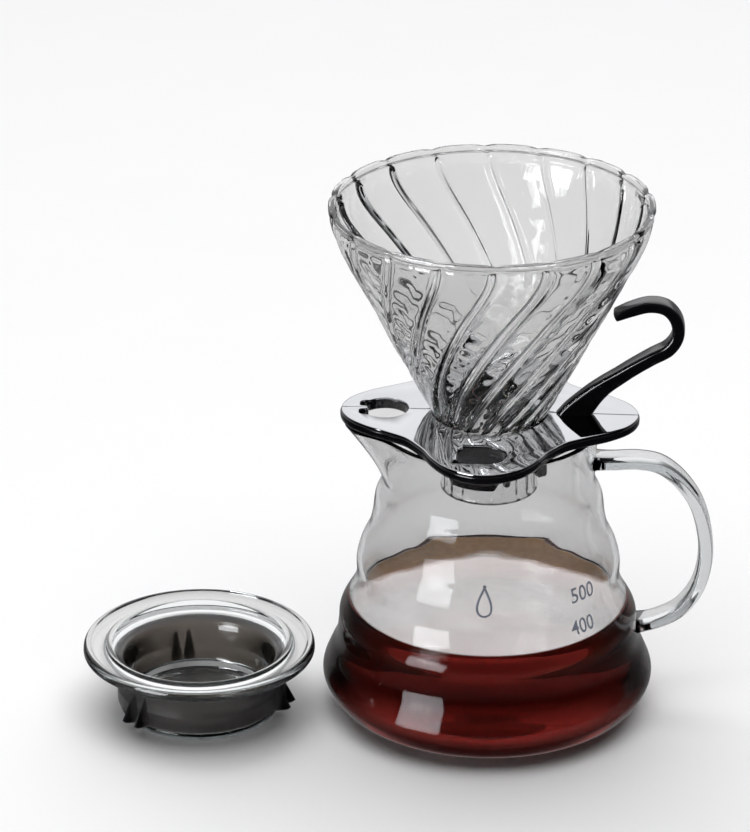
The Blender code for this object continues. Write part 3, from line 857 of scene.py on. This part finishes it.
def make_hook():
    """The strap, with its tip and its long edges eased, cut off where it stands on the plate."""
    x, z, thick, wide = HOOK_PATH[0]
    tip = [(x + along, z + up, thick * t, wide * w) for along, up, t, w in HOOK_TIP]
    path = tip + smooth(HOOK_PATH, 8)[4:]
    strap = swept("hook_moulding", path, sides=56, squareness=4.2, turn=DRIPPER_TURN)
    under = prism("under", [(0, -40), (80, -40), (80, 40), (0, 40)], 90, PLATE_TOP + 0.1)
    combine(strap, "DIFFERENCE", under)
    sharpen(strap, 50)
    settle(strap, "base", "black_plastic", BLACK, "handle")


def make_ring():
    """The lock ring's skirt steps down into lugs and back up."""
    inner, outer = RING_INNER, RING_OUTER
    flange = (RING_HIGH.y - RING_LOW.y) / 2
    steps = 180
    top = RING_HIGH.z

    def edge(angle):
        away = min(
            abs((degrees(angle) - LUG_MIDDLE - 360.0 * lug / LUG_COUNT + 180) % 360 - 180)
            for lug in range(LUG_COUNT)
        )
        part = min(max((LUG_ANGLE / 2 + 6 - away) / 12, 0.0), 1.0)
        return RING_LOW.z + LUG_DROP * (1 - part * part * (3 - 2 * part))

    profile = (
        (inner, 0.3), (inner + 0.25, 0.0), (outer - 0.25, 0.0), (outer, 0.3),
        (outer, top - 3.2), (outer + 0.4, top - 2.7), (flange - 0.4, top - 2.4),
        (flange, top - 2.0), (flange, top - 0.3), (flange - 0.3, top), (inner, top),
    )
    rings = []
    for r, z in profile:
        ring = []
        for k in range(steps):
            angle = 2 * pi * k / steps
            ring.append((r * cos(angle), r * sin(angle), z + edge(angle) if z < 1 else z))
        rings.append(ring)
    made = skin("clamp_ring", rings, turn=DRIPPER_TURN)
    settle(sharpen(made), "ring", "black_plastic", BLACK, "lock_ring")


def make_gasket():
    inner = NECK_RADIUS + 0.5
    outer = (GASKET_HIGH.y - GASKET_LOW.y) / 2
    low, high = GASKET_LOW.z, GASKET_HIGH.z
    lip = 0.3
    profile = [
        (inner, low + lip), (inner + lip, low), (outer - lip, low), (outer, low + lip),
        (outer, high - lip), (outer - lip, high), (inner + 1.4, high), (inner + 1.1, high - 0.35),
        (inner + 0.8, high), (inner + lip, high), (inner, high - lip),
    ]
    settle(
        sharpen(turned("seal_ring", profile, steps=96)), "base", "white_silicone", WHITE_SILICONE,
        "outlet_gasket",
    )


def make_screws():
    for number in (1, 2):
        low, high = node_box(f"handle_screw_{number}")
        middle = (low + high) / 2
        head = (high.y - low.y) / 2
        profile = [
            (head * 0.5, low.z), (head * 0.8, low.z + 0.08), (head * 0.96, low.z + 0.35),
            (head, low.z + 0.7), (head, low.z + 1.2), (1.25, low.z + 1.2),
        ]
        thread = low.z + 1.4
        while thread < high.z - 0.5:
            profile += [(1.22, thread), (1.0, thread + 0.2), (1.22, thread + 0.4)]
            thread += 0.55
        profile += [(0.9, high.z - 0.05)]
        screw = turned(f"screw_{number}", profile, steps=32, caps=True, shift=(middle.x, middle.y))
        slots = []
        for turn in (0.0, 90.0):
            outline = [(-1.5, -0.3), (1.5, -0.3), (1.5, 0.3), (-1.5, 0.3)]
            slots.append(
                layered("slot", outline, [(0, low.z - 1), (0, low.z + 0.8)], turn=turn,
                        shift=(middle.x, middle.y))
            )
        combine(screw, "DIFFERENCE", *slots)
        settle(sharpen(screw), "base", "screw_steel", STEEL, f"handle_screw_{number}")


# ---------------------------------------------------------------- lid


def make_lid():
    rim = smooth(LID_OUTLINE, 5)
    profile = [(0.5, 0.25), (14.0, 0.25), (24.0, 0.1)] + rim + [(7.0, 2.75), (0.5, 2.75)]
    lid = turned("lid_dish", profile, steps=144, shift=(LID_X, LID_Y))
    settle(sharpen(lid, 60), "lid", "lid_glass", LID_GLASS, "lid_glass")


def make_band():
    """A sleeve with a flared lip under the flange, and three pairs of fins that jut out low down."""
    inner = BAND_INNER
    profile = [
        (inner, BAND_BOTTOM + 0.3), (inner + 0.3, BAND_BOTTOM), (BAND_OUTER - 0.4, BAND_BOTTOM),
        (BAND_OUTER, BAND_BOTTOM + 0.5), (BAND_OUTER, BAND_BOTTOM + 5),
        (BAND_OUTER + 0.2, BAND_BOTTOM + 5.6), (BAND_OUTER + 0.2, BAND_BOTTOM + 6.2),
        (BAND_OUTER, BAND_BOTTOM + 6.8), (BAND_OUTER, 16.0), (BAND_OUTER + 0.4, 17.2),
        (BAND_OUTER + 1.2, 18.4), (BAND_OUTER + 2.6, 19.4), (BAND_OUTER + 3.8, 20.0),
        (BAND_OUTER + 4.1, 20.4), (BAND_OUTER + 3.9, 20.9), (BAND_OUTER + 2.4, 20.75),
        (BAND_OUTER + 0.5, 20.2), (inner + 0.7, 18.8), (inner, BAND_TOP - 0.2),
    ]
    band = turned("silicone_band", profile, steps=144, shift=(LID_X, LID_Y))
    fins = []
    for pair in FIN_PAIRS:
        for side in (-1, 1):
            wedge = []
            root = BAND_OUTER - 0.8
            for k in range(13):
                t = k / 12
                height = BAND_BOTTOM - 0.6 + t * (FIN_TOP - BAND_BOTTOM + 0.6)
                slope = min((t + 0.03) / 0.15, 1.0) * (1 - max(t - 0.12, 0.0) / 0.88)
                tip = BAND_OUTER + 0.1 + (FIN_REACH - BAND_OUTER) * slope
                half = 0.7 + 2.3 * slope
                wedge.append([(root, -half, height), (BAND_OUTER, -half * 0.85, height),
                              (tip - 0.6, -0.75, height), (tip, -0.3, height), (tip, 0.3, height),
                              (tip - 0.6, 0.75, height), (BAND_OUTER, half * 0.85, height),
                              (root, half, height)])
            fins.append(skin(f"fin_{side}", wedge, caps=True))
            turn = radians(pair + side * FIN_SPREAD)
            for vertex in fins[-1].data.vertices:
                x, y, z = vertex.co
                vertex.co = (x * cos(turn) - y * sin(turn) + LID_X * MM,
                             x * sin(turn) + y * cos(turn) + LID_Y * MM, z)
    combine(band, "UNION", *fins)
    settle(sharpen(band, 38), "lid", "grey_silicone", GREY_SILICONE, "lid_gasket")


# ---------------------------------------------------------------- print on the server


def wrap(name, points, faces, azimuth, height):
    """Lays flat artwork in millimetres on the server's outside."""
    laid = []
    for x, y, raise_by in points:
        z = height + y
        angle = radians(azimuth) + x / outer_radius(z, radians(azimuth))
        radius = outer_radius(z, angle) + 0.05 + raise_by
        laid.append((radius * cos(angle), radius * sin(angle), z))
    piece = mesh_object(name, laid, faces)
    settle(piece, "server", "black_plastic", INK)


def artwork(name, words, size, azimuth, height):
    curve = bpy.data.curves.new(name, "FONT")
    curve.body = words
    curve.size = size
    curve.align_x = "CENTER"
    curve.resolution_u = 4
    curve.extrude = 0.02
    curve.offset = 0.05
    text = bpy.data.objects.new(name + "_text", curve)
    bpy.context.scene.collection.objects.link(text)
    graph = bpy.context.evaluated_depsgraph_get()
    mesh = bpy.data.meshes.new_from_object(text.evaluated_get(graph))
    points = [tuple(v.co) for v in mesh.vertices]
    faces = [tuple(p.vertices) for p in mesh.polygons]
    wrap(name, points, faces, azimuth, height)
    bpy.data.objects.remove(text, do_unlink=True)


def make_print():
    artwork("mark_500", "500", 7.7, -46.0, 57.5)
    artwork("mark_400", "400", 7.3, -47.0, 45.5)
    outline = []
    steps = 40
    for k in range(steps):
        t = 2 * pi * k / steps
        outline.append((4.1 * sin(t) * sin(t / 2) ** 1.3, 5.6 * cos(t)))
    inner = inset(outline, -0.85, closed=True)
    points = [(x, y, lift) for lift in (0.02, 0.0) for line in (outline, inner) for x, y in line]
    faces = []
    for k in range(steps):
        n = (k + 1) % steps
        a, b, c, d = k, n, steps + n, steps + k
        low = 2 * steps
        faces += [(a, b, c, d), (low + d, low + c, low + b, low + a)]
        faces += [(a, low + a, low + b, b), (c, low + c, low + d, d)]
    wrap("mark_drop", points, faces, -93.0, 62.5)


make_server()
make_coffee()
make_cone()
make_plate()
make_covers()
make_hook()
make_ring()
make_gasket()
make_screws()
make_lid()
make_band()
make_print()


# ---------------------------------------------------------------- stage

FLOOR_RADIUS = 9.0  # metres
CAMERA_PLACE = (-0.0412, -1.5825, 0.8417)  # metres
CAMERA_DOWN = 24.7
CAMERA_LENS = 209.8558


def make_floor():
    mesh = bpy.data.meshes.new("floor")
    edge = [(x, y, 0) for x, y in circle(0, 0, FLOOR_RADIUS, 96)]
    mesh.from_pydata(edge, [], [tuple(range(96))])
    floor = bpy.data.objects.new("floor", mesh)
    bpy.context.scene.collection.objects.link(floor)
    floor.location.z = -0.0002
    look = Look("floor_look", Roughness=0.75)
    look.link(look.blend(look.noise(60, 3.0), (0.86, 0.86, 0.862), (0.88, 0.88, 0.88)), "Base Color")
    mesh.materials.append(look.made)
    floor.visible_glossy = False


def make_world():
    """Soft surroundings: bright behind the set, and dark in front, overhead and low at the sides."""
    world = bpy.data.worlds.new("studio")
    bpy.context.scene.world = world
    world.use_nodes = True
    nodes, links = world.node_tree.nodes, world.node_tree.links
    background = nodes["Background"]
    direction = nodes.new("ShaderNodeTexCoord")
    parts = nodes.new("ShaderNodeSeparateXYZ")
    links.new(direction.outputs["Generated"], parts.inputs["Vector"])

    def spread(value, low, high, new_low, new_high):
        node = nodes.new("ShaderNodeMapRange")
        node.interpolation_type = "SMOOTHSTEP"
        for name, number in (("From Min", low), ("From Max", high), ("To Min", new_low),
                             ("To Max", new_high)):
            node.inputs[name].default_value = number
        links.new(value, node.inputs["Value"])
        return node.outputs["Result"]

    def multiply(one, two):
        node = nodes.new("ShaderNodeMath")
        node.operation = "MULTIPLY"
        links.new(one, node.inputs[0])
        links.new(two, node.inputs[1])
        return node.outputs["Value"]

    front_to_back = spread(parts.outputs["Y"], -0.05, 0.75, 0.05, 1.7)
    low_to_high = spread(parts.outputs["Z"], 0.10, 0.34, 0.16, 1.0)
    sideways = nodes.new("ShaderNodeMath")
    sideways.operation = "ABSOLUTE"
    links.new(parts.outputs["X"], sideways.inputs[0])
    sides = spread(sideways.outputs["Value"], 0.45, 0.85, 1.0, 0.25)
    around = multiply(multiply(front_to_back, low_to_high), sides)
    links.new(around, background.inputs["Strength"])
    background.inputs["Color"].default_value = (0.985, 0.99, 1.0, 1.0)


def area_light(name, direction, distance, wide, tall, power, colour=(1.0, 1.0, 1.0), aim=(0, 0, 80)):
    """A soft light that faces the set from a direction."""
    data = bpy.data.lights.new(name, "AREA")
    data.shape = "RECTANGLE"
    data.size = wide
    data.size_y = tall
    data.energy = power
    data.color = colour
    light = bpy.data.objects.new(name, data)
    bpy.context.scene.collection.objects.link(light)
    target = Vector(aim) * MM
    light.location = target + Vector(direction).normalized() * distance
    light.rotation_euler = (target - light.location).to_track_quat("-Z", "Y").to_euler()
    light.visible_camera = False
    return light


def make_lights():
    """A wide panel overhead gives the even light. The softbox and the window panes only glint."""
    panel = area_light("overhead", (0.0, 0.0, 1.0), 2.2, 2.6, 2.6, 50.0, aim=(0, 0, 0))
    panel.visible_glossy = False
    panel.visible_transmission = False
    glints = [
        area_light("softbox", (-0.74, -0.67, 0.14), 1.5, 0.80, 0.85, 30.0, (0.95, 0.97, 1.0))
    ]
    for number, x in enumerate((-0.80, -0.62)):
        glints.append(
            area_light(f"window_{number}", (x, -0.62, 0.40), 1.7, 0.24, 0.40, 2.0, (0.94, 0.97, 1.0))
        )
    for light in glints:
        light.visible_diffuse = False


def make_camera():
    data = bpy.data.cameras.new("camera")
    camera = bpy.data.objects.new("camera", data)
    bpy.context.scene.collection.objects.link(camera)
    camera.location = CAMERA_PLACE
    camera.rotation_euler = (radians(90 - CAMERA_DOWN), 0.0, 0.0)
    data.sensor_width = 36.0
    data.lens = CAMERA_LENS
    data.clip_start = 0.05
    data.clip_end = 60.0
    bpy.context.scene.camera = camera


make_floor()
make_world()
make_lights()
make_camera()
bpy.context.scene.view_settings.view_transform = "Standard"
